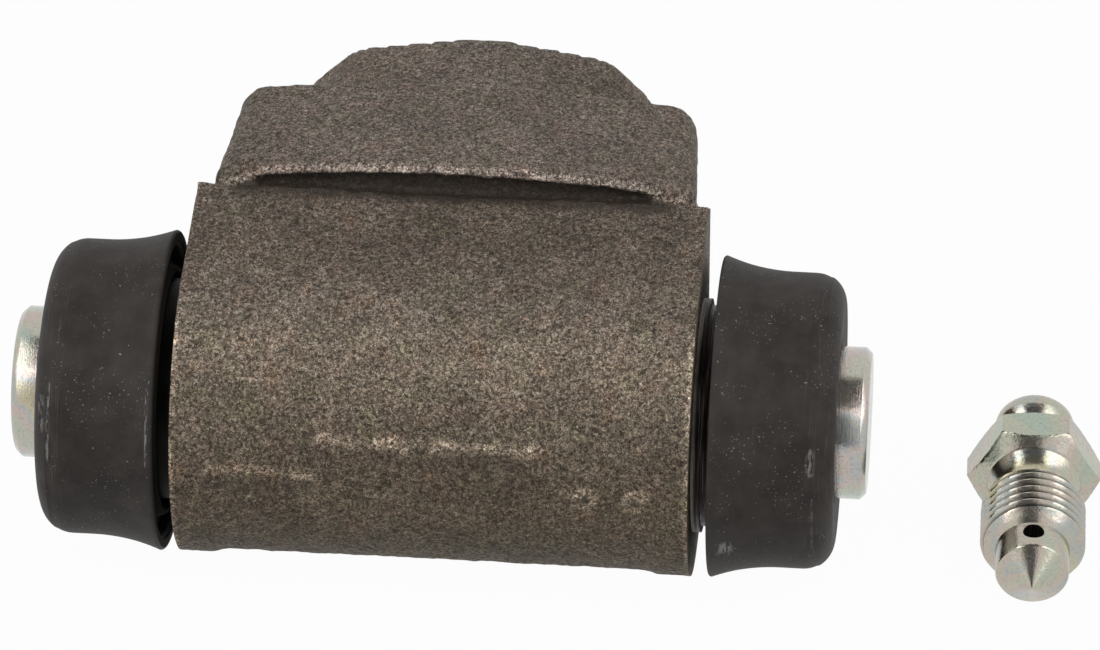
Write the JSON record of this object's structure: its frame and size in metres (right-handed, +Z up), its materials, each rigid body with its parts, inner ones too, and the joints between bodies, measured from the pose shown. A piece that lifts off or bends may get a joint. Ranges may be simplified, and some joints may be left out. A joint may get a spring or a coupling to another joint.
{
  "type": "wheel cylinder",
  "caption": "Drum-brake wheel cylinder: cast-iron body with mounting pad and boss, opposed sliding pistons in rubber dust boots, bleed screw lying beside it.",
  "frame": {"origin": "middle of the locating boss's flat end face, level with the bore axis", "axes": "+X along the bore, +Y out of the boss towards the backplate, +Z up"},
  "size_m": [0.1021, 0.0502, 0.0349],
  "materials": {
    "cast_iron": "rough",
    "zinc_plate": "satin",
    "boot_rubber": "matte",
    "seal_rubber": "satin",
    "spring_steel": "satin"
  },
  "bodies": {
    "housing": {"housing": "cast_iron", "return_spring": "spring_steel", "left_dust_boot": "boot_rubber", "right_dust_boot": "boot_rubber", "bleed_screw": "zinc_plate"},
    "left_piston": {"left_piston": "zinc_plate", "left_cup_seal": "seal_rubber", "left_cup_expander": "spring_steel"},
    "right_piston": {"right_piston": "zinc_plate", "right_cup_seal": "seal_rubber", "right_cup_expander": "spring_steel"}
  },
  "joints": [
    {"name": "left_piston_slide", "type": "slide", "parent": "housing", "child": "left_piston", "axis": [-1, 0, 0], "range_m": [-0.003, 0.005], "deforming": ["left_dust_boot", "return_spring"]},
    {"name": "right_piston_slide", "type": "slide", "parent": "housing", "child": "right_piston", "axis": [1, 0, 0], "range_m": [-0.003, 0.005], "deforming": ["right_dust_boot", "return_spring"]}
  ]
}
